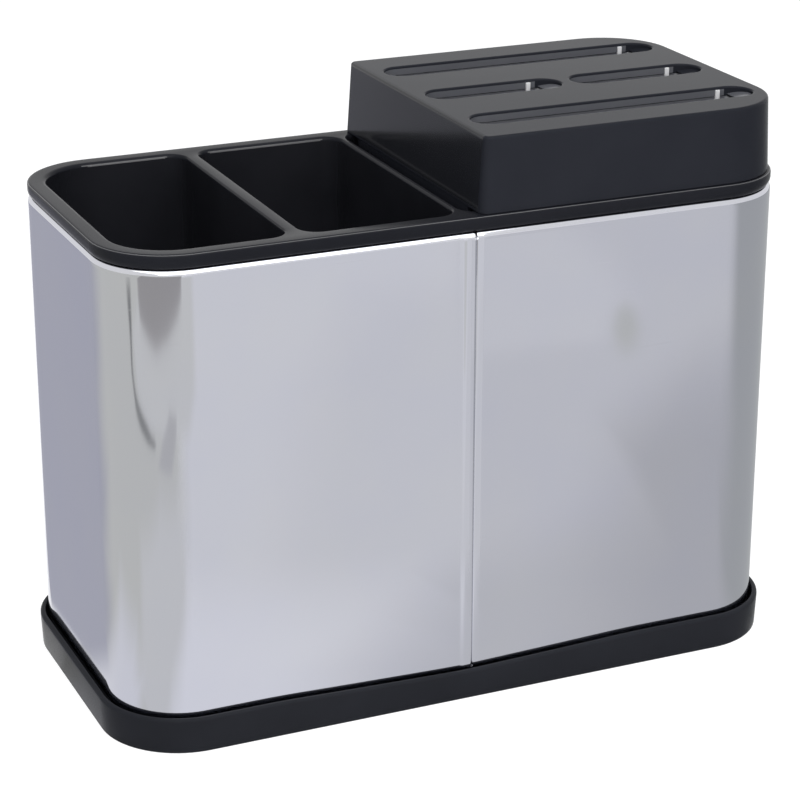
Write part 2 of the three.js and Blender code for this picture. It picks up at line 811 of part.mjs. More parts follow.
const knifeBlock = new THREE.Group();
knifeBlock.add(blockCap(), guidePlate());
for (const [name, slot] of Object.entries(slots)) knifeBlock.add(sleeve(name, slot));
blockScrewPlaces.forEach(([x, y], i) => {
  knifeBlock.add(screw("block_screw_" + (i + 1), x, y, rimTop));
});

const group = new THREE.Group();
group.add(tray, caddy, knifeBlock);

export default group;
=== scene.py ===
# %% [markdown]
# # A knife and utensil holder
# The real object is a caddy of polished sheet steel with two utensil cups and a knife well,
# a slotted knife block that lifts off, and a low drip tray under it all. The CAD model
# already has every part at its true size and place, so this lesson rebuilds the parts that
# show with finer edges, gives each one its finish, and lights the whole as in the photograph.

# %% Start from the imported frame
import math

import bmesh
import bpy
from mathutils import Matrix, Vector


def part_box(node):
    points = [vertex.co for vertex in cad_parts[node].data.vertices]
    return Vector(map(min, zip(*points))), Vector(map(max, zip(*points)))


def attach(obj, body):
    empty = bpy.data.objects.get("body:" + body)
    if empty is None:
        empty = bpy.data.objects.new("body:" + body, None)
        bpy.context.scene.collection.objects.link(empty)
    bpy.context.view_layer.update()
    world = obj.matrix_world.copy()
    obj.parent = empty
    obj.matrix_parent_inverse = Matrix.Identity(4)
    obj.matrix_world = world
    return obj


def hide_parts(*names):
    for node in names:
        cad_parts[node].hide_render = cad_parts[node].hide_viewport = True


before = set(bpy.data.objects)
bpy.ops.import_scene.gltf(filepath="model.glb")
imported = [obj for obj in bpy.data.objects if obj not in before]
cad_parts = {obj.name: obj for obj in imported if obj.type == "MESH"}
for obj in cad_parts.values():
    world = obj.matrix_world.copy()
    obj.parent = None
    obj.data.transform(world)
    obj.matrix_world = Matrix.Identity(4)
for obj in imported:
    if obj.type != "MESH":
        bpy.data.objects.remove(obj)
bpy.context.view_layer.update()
scene = bpy.context.scene

# %% [markdown]
# ## The camera
# The photograph was taken from the left, a little above the top of the block, with a long
# lens. The place and the aim below come from matching the corners of the tray, the steel and
# the block. A long lens far away keeps the upright edges nearly parallel, as they are there.

# %% Place the camera
CAMERA_AT = (-0.36755594, -0.83704506, 0.44261967)
CAMERA_RIGHT = Vector((0.91606054, -0.40103887, 0.00095945))
CAMERA_UP = Vector((0.14141399, 0.32525739, 0.93499183))

camera_data = bpy.data.cameras.new("photo_camera")
camera_data.sensor_width = 36
camera_data.lens = 116.823
camera_data.clip_start = 0.05
camera = bpy.data.objects.new("photo_camera", camera_data)
scene.collection.objects.link(camera)
scene.camera = camera
turn = Matrix((CAMERA_RIGHT, CAMERA_UP, CAMERA_RIGHT.cross(CAMERA_UP))).transposed()
camera.matrix_world = Matrix.Translation(CAMERA_AT) @ turn.to_4x4()
print("camera looks along", [round(c, 3) for c in -turn.col[2]])

# %% [markdown]
# ## Sizes of the holder
# The same few sizes shape many pieces, so they are named once, in millimetres. Z is up, X
# runs along the holder and Y from front to back. A plan is the outline of a piece seen from
# above: its four sides, and the radius of each corner from the front left one on.

# %% Heights and plans
MM = 0.001
STEEL_FOOT, STEEL_TOP = 10.9, 177.9
RIM_FOOT, RIM_TOP, SKIRT_FOOT = 178.2, 183.2, 166.2
BLOCK_TOP, CAP_UNDER = 210.5, 207.2
TRAY_FOOT, TRAY_FLOOR, TRAY_TOP = 0.5, 2.7, 13.5
HALF_LENGTH, HALF_DEPTH, STEEL_RADIUS = 130, 63, 28
CORNER_X, CORNER_Y = HALF_LENGTH - STEEL_RADIUS, HALF_DEPTH - STEEL_RADIUS
SEAM_X, MOUTH_Y, SLOT_WIDTH = 0.5, 56, 14.5


def plan(left, right, front, back, *radii):
    return {"sides": (left, right, front, back), "radii": radii}


STEEL_PLAN = plan(-HALF_LENGTH, HALF_LENGTH, -HALF_DEPTH, HALF_DEPTH, *[STEEL_RADIUS] * 4)
LEFT_MOUTH = plan(-123, -65.75, -MOUTH_Y, MOUTH_Y, 21, 7, 7, 21)
MIDDLE_MOUTH = plan(-60.55, -3.3, -MOUTH_Y, MOUTH_Y, 7, 7, 7, 7)
KNIFE_MOUTH = plan(-0.6, 123, -MOUTH_Y, MOUTH_Y, 7, 21, 21, 7)
BLOCK_PLAN = plan(2.8, 128.8, -61.8, 61.8, 3.5, 26.8, 26.8, 3.5)
# each slot's left and right end, and the middle of its width
SLOTS = {
    "back": (9.9, 122.4, 38),
    "middle_left": (9.9, 63.65, 0),
    "middle_right": (68.65, 122.4, 0),
    "front": (9.9, 122.4, -38),
}


def moved_in(outline_plan, left, right=None, front=None, back=None):
    """The plan with its sides moved inwards, all by one distance or each by its own."""
    right, front, back = (left if d is None else d for d in (right, front, back))
    a, b, c, d = outline_plan["sides"]
    pairs = ((left, front), (right, front), (right, back), (left, back))
    radii = [max(r - (m + n) / 2, 0.3) for r, (m, n) in zip(outline_plan["radii"], pairs)]
    return plan(a + left, b - right, c + front, d - back, *radii)


print("the steel is", STEEL_TOP - STEEL_FOOT, "mm high, its lip at", STEEL_TOP, "mm")

# %% [markdown]
# ## Outlines, walls and lids
# Nearly every part of the holder is moulded, so its walls follow one outline at several
# heights. The outline is a square face whose corners are rounded with a vertex bevel. Its
# face is then taken away, two such outlines are bridged to make a wall, and a flat top with
# holes in it is filled between its outer and inner outlines. That needs no boolean cuts, so
# the edges stay clean and take a smooth shading. A profile lists the heights of such outlines
# and how far each lies inside a plan.

# %% Outline helpers
def outline(bm, at, z, steps=14):
    """The edges of a plan at a height, its corners rounded with a vertex bevel."""
    left, right, front, back = at["sides"]
    square = bmesh.ops.create_grid(bm, x_segments=1, y_segments=1, size=1)["verts"]
    corners = {}
    for v in square:
        corners[(v.co.x > 0, v.co.y > 0)] = v
        v.co = (right if v.co.x > 0 else left, back if v.co.y > 0 else front, z)
    order = [(False, False), (True, False), (True, True), (False, True)]
    for key, radius in zip(order, at["radii"]):
        rounded = bmesh.ops.bevel(
            bm, geom=[corners[key]], offset=radius, offset_type="OFFSET", affect="VERTICES",
            segments=steps, profile=0.5, material=-1,
        )
    face = rounded["verts"][0].link_faces[0]
    edges = list(face.edges)
    bmesh.ops.delete(bm, geom=[face], context="FACES_ONLY")
    return edges


def outlines(bm, at, profile, steps=14):
    """An outline of a plan for each height and distance in of a profile."""
    return [outline(bm, moved_in(at, inward), z, steps) for z, inward in profile]


def slot_outline(bm, left, right, middle, width, z, segments=40):
    """The edges of a slot with round ends: a circle whose halves are moved apart."""
    half_step = Matrix.Rotation(math.pi / segments, 4, "Z")
    ring = bmesh.ops.create_circle(
        bm, segments=segments, radius=width / 2, matrix=half_step
    )["verts"]
    reach = (right - left - width) / 2
    for side in (-1, 1):
        half = [v for v in ring if v.co.x * side > 0]
        bmesh.ops.translate(bm, verts=half, vec=(side * reach, 0, 0))
    bmesh.ops.translate(bm, verts=ring, vec=((left + right) / 2, middle, z))
    return list({e for v in ring for e in v.link_edges})


def circle(bm, x, y, radius, z, segments):
    """The edges of a circle at a height."""
    made = bmesh.ops.create_circle(
        bm, segments=segments, radius=radius, matrix=Matrix.Translation((x, y, z))
    )["verts"]
    return list({e for v in made for e in v.link_edges})


def line(bm, points):
    """A line of edges through some points. Returns its corners."""
    verts = [bmesh.ops.create_vert(bm, co=point)["vert"][0] for point in points]
    for pair in zip(verts, verts[1:]):
        bmesh.ops.contextual_create(bm, geom=pair)
    return verts


def wall(bm, rings, finish=0):
    """Bridges each outline to the next, in the finish of the given number."""
    for one, other in zip(rings, rings[1:]):
        for face in bmesh.ops.bridge_loops(bm, edges=one + other)["faces"]:
            face.material_index = finish


def lid(bm, outer, holes=()):
    """Fills an outline with a flat face, or the space between it and the holes."""
    edges = outer + [e for hole in holes for e in hole]
    if holes:
        bmesh.ops.triangle_fill(bm, use_beauty=True, use_dissolve=False, edges=edges)
    else:
        bmesh.ops.contextual_create(bm, geom=edges)


def rounding(top, reach, drop, side=0.0, steps=6):
    """The profile of a rounded edge, from the upright wall to the flat. The drop from the
    flat to the wall is negative where the wall stands above the flat."""
    angles = [math.pi / 2 * i / steps for i in range(steps + 1)]
    return [(top - drop * (1 - math.sin(a)), side + reach * (1 - math.cos(a))) for a in angles]


test = bmesh.new()
print("the outline of the steel has", len(outline(test, STEEL_PLAN, 0)), "edges")
test.free()

# %% [markdown]
# ## From a bmesh to a piece
# Each piece is made in millimetres and scaled once at the end. Doubles are merged and the
# normals worked out again, because a bridge may come out inside out. Shading is smooth, apart
# from edges sharper than the given angle. The piece then rides on its CAD body and stands
# for its CAD node, which stays in the frame for collision.

# %% Finish a piece
def finished(name, bm, materials, body, nodes, angle=38):
    """Turns a bmesh in mm into a piece on its body, which stands for its CAD nodes."""
    bmesh.ops.remove_doubles(bm, verts=bm.verts, dist=0.002)
    bmesh.ops.recalc_face_normals(bm, faces=bm.faces)
    bmesh.ops.scale(bm, vec=(MM, MM, MM), verts=bm.verts)
    open_edges = sum(1 for e in bm.edges if len(e.link_faces) != 2)
    mesh = bpy.data.meshes.new(name)
    bm.to_mesh(mesh)
    bm.free()
    mesh.shade_smooth()
    mesh.set_sharp_from_angle(angle=math.radians(angle))
    for material in materials:
        mesh.materials.append(material)
    piece = bpy.data.objects.new(name, mesh)
    scene.collection.objects.link(piece)
    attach(piece, body)
    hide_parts(*nodes)
    print(f"{name}: {len(mesh.polygons)} faces, {open_edges} open edges")
    return piece


def peg(bm, x, y, radius, low, high):
    """A round post, as its own closed shell in the piece."""
    place = Matrix.Translation((x, y, (low + high) / 2))
    bmesh.ops.create_cone(bm, cap_ends=True, segments=32, radius1=radius, radius2=radius,
                          depth=high - low, matrix=place)


def bar(bm, left, right, front, back, low, high, edge=0.0, finish=0):
    """A straight bar in the finish of the given number. Returns its corners."""
    middle = Matrix.Translation(((left + right) / 2, (front + back) / 2, (low + high) / 2))
    size = Matrix.Diagonal((right - left, back - front, high - low, 1))
    made = bmesh.ops.create_cube(bm, size=1, matrix=middle @ size)["verts"]
    for face in {f for v in made for f in v.link_faces}:
        face.material_index = finish
    if edge:
        edges = list({e for v in made for e in v.link_edges})
        bmesh.ops.bevel(bm, geom=edges, offset=edge, affect="EDGES", segments=3,
                        profile=0.5, material=-1)
    return made


print("a piece can be finished, with pegs and bars in it")

# %% [markdown]
# ## Effects that several finishes share
# Moulded plastic has a fine grain from its mould, and every surface that hands touch has
# soft smudges and a few hairline scratches. Each effect is a node group that puts out masks
# only, so that each finish decides how strongly it shows. They read Object coordinates,
# which are metres on the real object, so a grain of half a millimetre is that size on all.

# %% Node helpers and the shared groups
def add(tree, kind, **values):
    """A new node. Values named in_ are for its inputs, and the others are its settings."""
    node = tree.nodes.new(kind)
    for name, value in values.items():
        if name.startswith("in_"):
            node.inputs[name[3:].replace("_", " ")].default_value = value
        else:
            setattr(node, name, value)
    return node


def new_group(name, inputs, outputs):
    """A node group whose inputs and outputs are plain numbers."""
    tree = bpy.data.node_groups.new(name, "ShaderNodeTree")
    for labels, side in ((inputs, "INPUT"), (outputs, "OUTPUT")):
        for label in labels:
            tree.interface.new_socket(label, in_out=side, socket_type="NodeSocketFloat")
    return tree, add(tree, "NodeGroupInput"), add(tree, "NodeGroupOutput")


def remap(tree, source, low, high, to_low, to_high):
    """Maps a mask from one range to another."""
    node = add(tree, "ShaderNodeMapRange")
    for index, value in zip((1, 2, 3, 4), (low, high, to_low, to_high)):
        node.inputs[index].default_value = value
    tree.links.new(source, node.inputs[0])
    return node.outputs[0]


def mould_grain():
    """A fine grain for the bump, and broad patches for the colour."""
    tree, start, end = new_group("mould_grain", ["Grain per metre"], ["Height", "Dullness"])
    place = add(tree, "ShaderNodeTexCoord")
    fine = add(tree, "ShaderNodeTexNoise", in_Detail=3.0, in_Roughness=0.6)
    coarse = add(tree, "ShaderNodeTexNoise", in_Scale=24.0, in_Detail=3.0)
    tree.links.new(start.outputs["Grain per metre"], fine.inputs["Scale"])
    for texture in (fine, coarse):
        tree.links.new(place.outputs["Object"], texture.inputs["Vector"])
    tree.links.new(fine.outputs["Fac"], end.inputs["Height"])
    tree.links.new(remap(tree, coarse.outputs["Fac"], 0.35, 0.65, 0, 1), end.inputs["Dullness"])
    return tree


def handling_marks():
    """Soft smudges, and hairlines: thin bands of a stretched noise."""
    tree, start, end = new_group("handling_marks", ["Smudges per metre"], ["Smudge", "Hairline"])
    place = add(tree, "ShaderNodeTexCoord")
    smudge = add(tree, "ShaderNodeTexNoise", in_Detail=4.0, in_Roughness=0.55, in_Distortion=0.6)
    tree.links.new(start.outputs["Smudges per metre"], smudge.inputs["Scale"])
    tree.links.new(place.outputs["Object"], smudge.inputs["Vector"])
    stretch = add(tree, "ShaderNodeMapping")
    stretch.inputs["Rotation"].default_value = (0.3, 0.5, 0.2)
    stretch.inputs["Scale"].default_value = (40, 40, 900)
    lines = add(tree, "ShaderNodeTexNoise", in_Scale=1.0, in_Detail=2.0)
    tree.links.new(place.outputs["Object"], stretch.inputs["Vector"])
    tree.links.new(stretch.outputs["Vector"], lines.inputs["Vector"])
    tree.links.new(remap(tree, smudge.outputs["Fac"], 0.4, 0.7, 0, 1), end.inputs["Smudge"])
    tree.links.new(remap(tree, lines.outputs["Fac"], 0.68, 0.74, 0, 1), end.inputs["Hairline"])
    return tree


GRAIN = mould_grain()
MARKS = handling_marks()
print("groups:", [g.name for g in bpy.data.node_groups])

# %% [markdown]
# ## Finishes
# The plastic is dark and satin, with a grain too fine to see from a step away that still
# breaks up its highlights. The cups are the same plastic from a polished mould. The sleeves
# are glossy like them, in a lighter grey that is painted light for the light on the slot walls.
# The steel is a mirror made soft by its finish: metallic, pale, a little rough, and with
# smudges that change its roughness. Feet are rubber, and screws are zinc-plated. Thin strips
# of the rim's edges and a strip in each slot are painted lighter, as painted highlights, and
# the left side of the block has a little more shine than the rest.

# %% Make the finishes
def effect(tree, group, **values):
    """One of the shared groups in a material, with its own values."""
    node = add(tree, "ShaderNodeGroup", node_tree=group)
    for name, value in values.items():
        node.inputs[name.replace("_", " ")].default_value = value
    return node


def blend_colours(tree, mask, one, other):
    """Mixes two colours by a mask, in the colour sockets of a Mix node."""
    mix = add(tree, "ShaderNodeMix", data_type="RGBA")
    mix.inputs[6].default_value, mix.inputs[7].default_value = (*one, 1), (*other, 1)
    tree.links.new(mask, mix.inputs[0])
    return mix.outputs[2]


def grained(name, one, other, grain, depth, smudges):
    """A material of two close colours with a grain, its depth in mm."""
    material = bpy.data.materials.new(name)
    material.use_nodes = True
    tree = material.node_tree
    shader = tree.nodes["Principled BSDF"]
    mould = effect(tree, GRAIN, Grain_per_metre=grain)
    marks = effect(tree, MARKS, Smudges_per_metre=smudges)
    colour = blend_colours(tree, mould.outputs["Dullness"], one, other)
    bump = add(tree, "ShaderNodeBump", in_Distance=depth * MM, in_Strength=1.0)
    tree.links.new(mould.outputs["Height"], bump.inputs["Height"])
    tree.links.new(colour, shader.inputs["Base Color"])
    tree.links.new(bump.outputs["Normal"], shader.inputs["Normal"])
    return material, tree, shader, marks


def plastic(name, dark, light, dull, grain, depth, specular=0.5):
    """A moulded plastic, with smudges that change its roughness within a range."""
    material, tree, shader, marks = grained(name, dark, light, grain, depth, 16.0)
    shader.inputs["Specular IOR Level"].default_value = specular
    tree.links.new(remap(tree, marks.outputs["Smudge"], 0, 1, *dull), shader.inputs["Roughness"])
    return material


def metal(name, cool, warm, rough, smudges, wave):
    """A metal, with smudges and hairlines in its roughness, and a slow wave in the sheet."""
    material, tree, shader, marks = grained(name, cool, warm, 900.0, wave, smudges)
    shader.inputs["Metallic"].default_value = 1
    total = add(tree, "ShaderNodeMath", operation="ADD")
    tree.links.new(remap(tree, marks.outputs["Smudge"], 0, 1, *rough), total.inputs[0])
    tree.links.new(remap(tree, marks.outputs["Hairline"], 0, 1, 0, 0.06), total.inputs[1])
    tree.links.new(total.outputs[0], shader.inputs["Roughness"])
    return material


SATIN_RIM = plastic("satin_rim", (0.0115, 0.0122, 0.0160), (0.0145, 0.0153, 0.0195),
                    dull=(0.18, 0.26), grain=1400.0, depth=0.003, specular=0.06)
SATIN_TRAY = plastic("satin_tray", (0.0175, 0.0185, 0.0225), (0.0205, 0.0217, 0.0265),
                     dull=(0.18, 0.26), grain=1400.0, depth=0.003, specular=0.03)
SATIN_BLOCK = plastic("satin_block", (0.0182, 0.0195, 0.0252), (0.0212, 0.0227, 0.0288),
                      dull=(0.13, 0.19), grain=1400.0, depth=0.002, specular=0.032)
GLOSS_FLANK = plastic("gloss_flank", (0.0160, 0.0170, 0.0205), (0.0190, 0.0200, 0.0240),
                      dull=(0.12, 0.17), grain=1400.0, depth=0.002, specular=0.2)
GLOSS_CUP = plastic("gloss_cup", (0.010, 0.0105, 0.013), (0.015, 0.0155, 0.019),
                    dull=(0.14, 0.24), grain=900.0, depth=0.004, specular=0.40)
# glossy plastic in a lighter grey: painted light for the light on the slot walls
SLEEVE_PAINTED_LIGHT = plastic("gloss_sleeve_painted_light", (0.105, 0.108, 0.122), (0.125, 0.128, 0.142),
                       dull=(0.16, 0.24), grain=700.0, depth=0.003)
# a lighter colour for thin strips of the rim's roundings: a painted highlight
PAINTED_HIGHLIGHT_EDGE = plastic("painted_highlight_edge", (0.085, 0.086, 0.09), (0.11, 0.11, 0.115),
                      dull=(0.25, 0.35), grain=900.0, depth=0.002, specular=0.3)
# a pale colour for a strip in each slot: a painted highlight near the slot's right end
PAINTED_GLINT_STRIP = plastic("painted_glint_strip", (0.72, 0.72, 0.74), (0.78, 0.78, 0.79),
                   dull=(0.25, 0.35), grain=900.0, depth=0.003)
RUBBER = plastic("foot_rubber", (0.012, 0.012, 0.013), (0.022, 0.022, 0.023),
                 dull=(0.8, 0.92), grain=2200.0, depth=0.03, specular=0.3)
STEEL = metal("polished_steel", (0.59, 0.597, 0.652), (0.605, 0.61, 0.65),
              rough=(0.05, 0.11), smudges=9.0, wave=0.0004)
ZINC = metal("zinc_screw", (0.52, 0.54, 0.58), (0.62, 0.63, 0.62),
             rough=(0.28, 0.42), smudges=120.0, wave=0.004)
print("finishes:", [m.name for m in (
    SATIN_RIM, SATIN_TRAY, SATIN_BLOCK, GLOSS_FLANK, GLOSS_CUP, SLEEVE_PAINTED_LIGHT, PAINTED_HIGHLIGHT_EDGE,
    PAINTED_GLINT_STRIP, RUBBER, STEEL, ZINC)])

# %% [markdown]
# ## The steel wrap
# The real one is a strip of thin sheet, rolled round into a box with big corners. Its top
# and bottom edges are rolled inwards into soft lips, and its two ends meet at the front,
# where each turns inwards through a small bend. Before it the right end leans in a little,
# and the left one swells out into a low bead that catches a line of light. The section of
# the sheet is drawn once as a line of edges, the lips with a spin. It is then carried round
# the holder: pushed along each straight side and spun round each corner. Near the seam the
# lower lip sags a little. Solidify gives the sheet its thickness.

# %% Draw the section and carry it round
LIP, LIP_END, SHEET = 2.0, 2.4, 0.8
HALF_GAP, BEND, FLANGE, LIP_STOP = 0.03, 0.9, 4.0, 0.3
TURN = math.radians(60)
# the curves before the bend, right (1) and left (-1) of the seam: each a radius and an angle,
# or a length and no angle
EASE = {
    1: [(20.0, math.radians(7))],
    -1: [(3.0, math.radians(-15)), (0.4, 0.0), (4.0, math.radians(14)), (2.2, 0.0)],
}
SAG, SAG_X, SAG_REACH = 2.2, -4.0, 74.0
SAG_FRONT, SAG_SOFTNESS = -58, 0.003


def lip(bm, vert, side, steps=10):
    """Rolls the sheet's edge inwards: a half turn, then a short straight end."""
    centre = vert.co + Vector((0, LIP, 0))
    rolled = bmesh.ops.spin(bm, geom=[vert], cent=centre, axis=(1, 0, 0),
                            angle=-side * math.pi, steps=steps)["geom_last"]
    end = next(v for v in rolled if isinstance(v, bmesh.types.BMVert))
    last = bmesh.ops.extrude_vert_indiv(bm, verts=[end])["verts"]
    bmesh.ops.translate(bm, verts=last, vec=(0, 0, -side * LIP_END))


def push(bm, edges, vec):
    """Extrudes a line of edges straight and returns its new edges."""
    made = bmesh.ops.extrude_edge_only(bm, edges=edges)["geom"]
    verts = [g for g in made if isinstance(g, bmesh.types.BMVert)]
    bmesh.ops.translate(bm, verts=verts, vec=vec)
    return [g for g in made
            if isinstance(g, bmesh.types.BMEdge) and all(v in verts for v in g.verts)]


def swing(bm, edges, centre, angle, steps):
    """Spins a line of edges about an upright axis and returns its new edges."""
    verts = list({v for e in edges for v in e.verts})
    made = bmesh.ops.spin(bm, geom=verts + edges, cent=(*centre, 0), axis=(0, 0, 1),
                          angle=angle, steps=steps)["geom_last"]
    return [g for g in made if isinstance(g, bmesh.types.BMEdge)]


def straight(bm, edges, vec, parts):
    """A straight side in several columns, the first and last of them narrow."""
    vec = Vector(vec)
    near = vec.normalized() * 1.5
    edges = push(bm, edges, near)
    for _ in range(parts):
        edges = push(bm, edges, (vec - 2 * near) / parts)
    return push(bm, edges, near)


def curl(bm, edges, side, at, heading, radius, turn, steps=6):
    """Carries edges round a bend near the seam, or straight on where the turn is zero."""
    if not turn:
        step = radius * Vector((-side * math.cos(heading), math.sin(heading), 0))
        return push(bm, edges, step), at + step.xy, heading
    reach = math.copysign(radius, turn)
    centre = at + reach * Vector((side * math.sin(heading), math.cos(heading)))
    edges = swing(bm, edges, centre, -side * turn, steps)
    heading += turn
    return edges, centre - reach * Vector((side * math.sin(heading), math.cos(heading))), heading


def distance_to_seam(side):
    """From the flat side to the middle of the seam, past the easing and the bend."""
    along, heading = HALF_GAP, 0
    for radius, turn in EASE[side]:
        curved = abs(math.sin(heading + turn) - math.sin(heading))
        along += radius * (curved if turn else math.cos(heading))
        heading += turn
    return along + BEND * (math.sin(TURN) - math.sin(heading))


def sagged(bm, low, high, amount):
    """Lowers what is in front, near the seam and between two heights, fading to both sides."""
    for v in bm.verts:
        away = abs(v.co.x - SAG_X) / SAG_REACH
        if v.co.y < SAG_FRONT and low < v.co.z < high and away < 1:
            v.co.z -= amount * (1 - math.sqrt(away * away + SAG_SOFTNESS)) * (1 - away ** 8)


def steel_wrap():
    bm = bmesh.new()
    start_x, end_x = SEAM_X + distance_to_seam(1), SEAM_X - distance_to_seam(-1)
    low, high = STEEL_FOOT + LIP, STEEL_TOP - LIP
    heights = [low, low + 1] + [low + (high - low) * i / 6 for i in range(1, 6)] + [high - 1, high]
    column = line(bm, [(start_x, -HALF_DEPTH, z) for z in heights])
    lip(bm, column[0], -1)
    lip(bm, column[-1], 1)
    section = list(bm.edges)
    sides = (
        ((CORNER_X - start_x, 0, 0), 8, (CORNER_X, -CORNER_Y)),
        ((0, 2 * CORNER_Y, 0), 8, (CORNER_X, CORNER_Y)),
        ((-2 * CORNER_X, 0, 0), 10, (-CORNER_X, CORNER_Y)),
        ((0, -2 * CORNER_Y, 0), 8, (-CORNER_X, -CORNER_Y)),
    )
    edges = section
    for along, parts, corner in sides:
        edges = swing(bm, straight(bm, edges, along, parts), corner, math.pi / 2, 24)
    edges = straight(bm, edges, (end_x + CORNER_X, 0, 0), 8)
    for edges, side in ((section, 1), (edges, -1)):
        at, heading = Vector((SEAM_X + side * distance_to_seam(side), -HALF_DEPTH)), 0.0
        for radius, turn in EASE[side]:
            edges, at, heading = curl(bm, edges, side, at, heading, radius, turn)
        upright = [e for e in edges if all(
            low - 0.01 < v.co.z < high + 0.01 and v.co.y < at.y + 0.2 for v in e.verts)]
        rolled = [e for e in edges if e not in upright]
        curl(bm, rolled, side, at, heading, abs(at.x - SEAM_X) - LIP_STOP, 0)
        upright, at, heading = curl(bm, upright, side, at, heading, BEND, TURN - heading, 8)
        push(bm, upright, (0, FLANGE, 0))
    sagged(bm, 0, 16, 0.65 * SAG)
    piece = finished("steel_wrap_sheet", bm, [STEEL], "caddy", ["steel_wrap"], 60)
    thickness = piece.modifiers.new("sheet", "SOLIDIFY")
    thickness.thickness, thickness.offset, thickness.use_even_offset = SHEET * MM, -1, True


steel_wrap()

# %% [markdown]
# ## The top rim
# One moulding sits on the steel's upper lip: a band with a soft top, two narrow bars between
# its three mouths, and a skirt down inside the sheet. All its walls are bridged outlines, and
# its top is filled between the band's outline and the mouths'. A narrow ring of flat faces
# beside each rounded edge keeps the smooth shading from spilling over the flat. A lighter
# colour is painted on thin strips of the roundings as a painted highlight: all round the
# band, and along the back of each mouth.

# %% Build the rim
MOUTH_DROP, MOUTH_FLARE = 1.4, 1.6


def mouth_rings(bm, mouth, near_left, near_right):
    """Outlines from the flat top down a mouth's rounded edge to the foot of its wall."""
    rings = []
    for z, flare in reversed(rounding(RIM_TOP, 1, MOUTH_DROP)):
        out = [-flare * d for d in (near_left, near_right, MOUTH_FLARE, MOUTH_FLARE)]
        rings.append(outline(bm, moved_in(mouth, *out), z))
    wall(bm, rings)
    # the lower half of the rounding along the back of the mouth gets the painted highlight
    for face in bm.faces:
        heights = [v.co.z for v in face.verts]
        low_half = RIM_TOP - MOUTH_DROP - 0.01 < min(heights) and max(heights) < RIM_TOP - 0.6
        if low_half and face.calc_center_median().y > MOUTH_Y:
            face.material_index = 2
    rings.append(outline(bm, mouth, SKIRT_FOOT))
    wall(bm, rings[-2:], finish=1)
    return rings


def top_rim():
    bm = bmesh.new()
    profile = [
        (SKIRT_FOOT, 4.5), (RIM_FOOT, 4.5), (RIM_FOOT - 0.2, 1.5), (RIM_FOOT - 0.2, 1.1),
        (RIM_FOOT, 0.85), (RIM_FOOT + 1.4, 0.12), (RIM_FOOT + 2, 0),
    ]
    # a strip in the middle of the band's top rounding, from this ring to the next, gets the painted
    # highlight
    bright = len(profile) + 2
    profile += rounding(RIM_TOP, 1.1, 0.9, 0, 5) + [(RIM_TOP, 1.5)]
    rings = outlines(bm, STEEL_PLAN, profile)
    wall(bm, rings[:bright + 1])
    wall(bm, rings[bright:bright + 2], finish=2)
    wall(bm, rings[bright + 1:])
    tops, feet = [], []
    for mouth, *near in ((LEFT_MOUTH, 1.9, 0.8), (MIDDLE_MOUTH, 0.8, 1.0), (KNIFE_MOUTH, 1.0, 1.6)):
        edge = mouth_rings(bm, mouth, *near)
        tops.append(edge[0])
        feet.append(edge[-1])
    lid(bm, rings[-1], tops)
    lid(bm, rings[0], feet)
    finished("top_rim_moulding", bm, [SATIN_RIM, GLOSS_CUP, PAINTED_HIGHLIGHT_EDGE],
             "caddy", ["top_rim"])


top_rim()

# %% [markdown]
# ## The two utensil cups
# Each is a deep cup under one mouth. Its walls lean in a little towards the floor, so that
# the moulding leaves its mould, and the floor has five drain slots and two screw posts below.

# %% Build the cups
CUP_FLOOR, CUP_THICK, CUP_LEAN = 22.0, 2.2, 2.6
DRAIN_HALF, DRAIN_WIDTH, DRAIN_STEP = 8, 4, 11


def cup(name, mouth, node):
    bm = bmesh.new()
    outside = [(CUP_FLOOR, CUP_LEAN), (CUP_FLOOR + 0.7, CUP_LEAN - 1.6),
               (CUP_FLOOR + 2.2, CUP_LEAN - 2.2), (SKIRT_FOOT, -CUP_THICK)]
    inside = [(SKIRT_FOOT, 0), (CUP_FLOOR + 7, CUP_LEAN), (CUP_FLOOR + 4.2, CUP_LEAN + 0.7),
              (CUP_FLOOR + 2.9, CUP_LEAN + 2), (CUP_FLOOR + CUP_THICK, CUP_LEAN + 4)]
    rings = outlines(bm, mouth, outside + inside)
    wall(bm, rings)
    middle = sum(mouth["sides"][:2]) / 2
    above, below = [], []
    for i in range(-2, 3):
        drain = [slot_outline(bm, middle - DRAIN_HALF, middle + DRAIN_HALF, DRAIN_STEP * i,
                              DRAIN_WIDTH, z, 24) for z in (CUP_FLOOR + CUP_THICK, CUP_FLOOR)]
        wall(bm, drain)
        above.append(drain[0])
        below.append(drain[1])
    lid(bm, rings[-1], above)
    lid(bm, rings[0], below)
    for y in (-36, 36):
        peg(bm, middle, y, 3.5, 10.6, CUP_FLOOR + 1)
    finished(name, bm, [GLOSS_CUP], "caddy", [node])


cup("left_utensil_cup", LEFT_MOUTH, "utensil_cup_left")
cup("middle_utensil_cup", MIDDLE_MOUTH, "utensil_cup_middle")

# %% [markdown]
# ## The knife block
# The cap is a hollow moulding, rounded along its top edge, whose walls lean in slightly. Four
# long slots go through its top, each with a soft edge. The slots' walls are glossy and painted
# the sleeves' lighter grey, as painted light, but keep the cap's dark colour at the right end.
# There a pale upright strip is a painted highlight, and a sloping ledge catches the lamps and
# is painted the lighter grey too, for a glint.

# %% Build the cap
LEAN, LEFT_LEAN, CAP_WALL = 1.1, 1.8, 2.2
# the painted glint strip ends this far in from each slot's right end
SLOT_EDGE, GLINT_STRIP_RIGHT = 0.7, 8.6


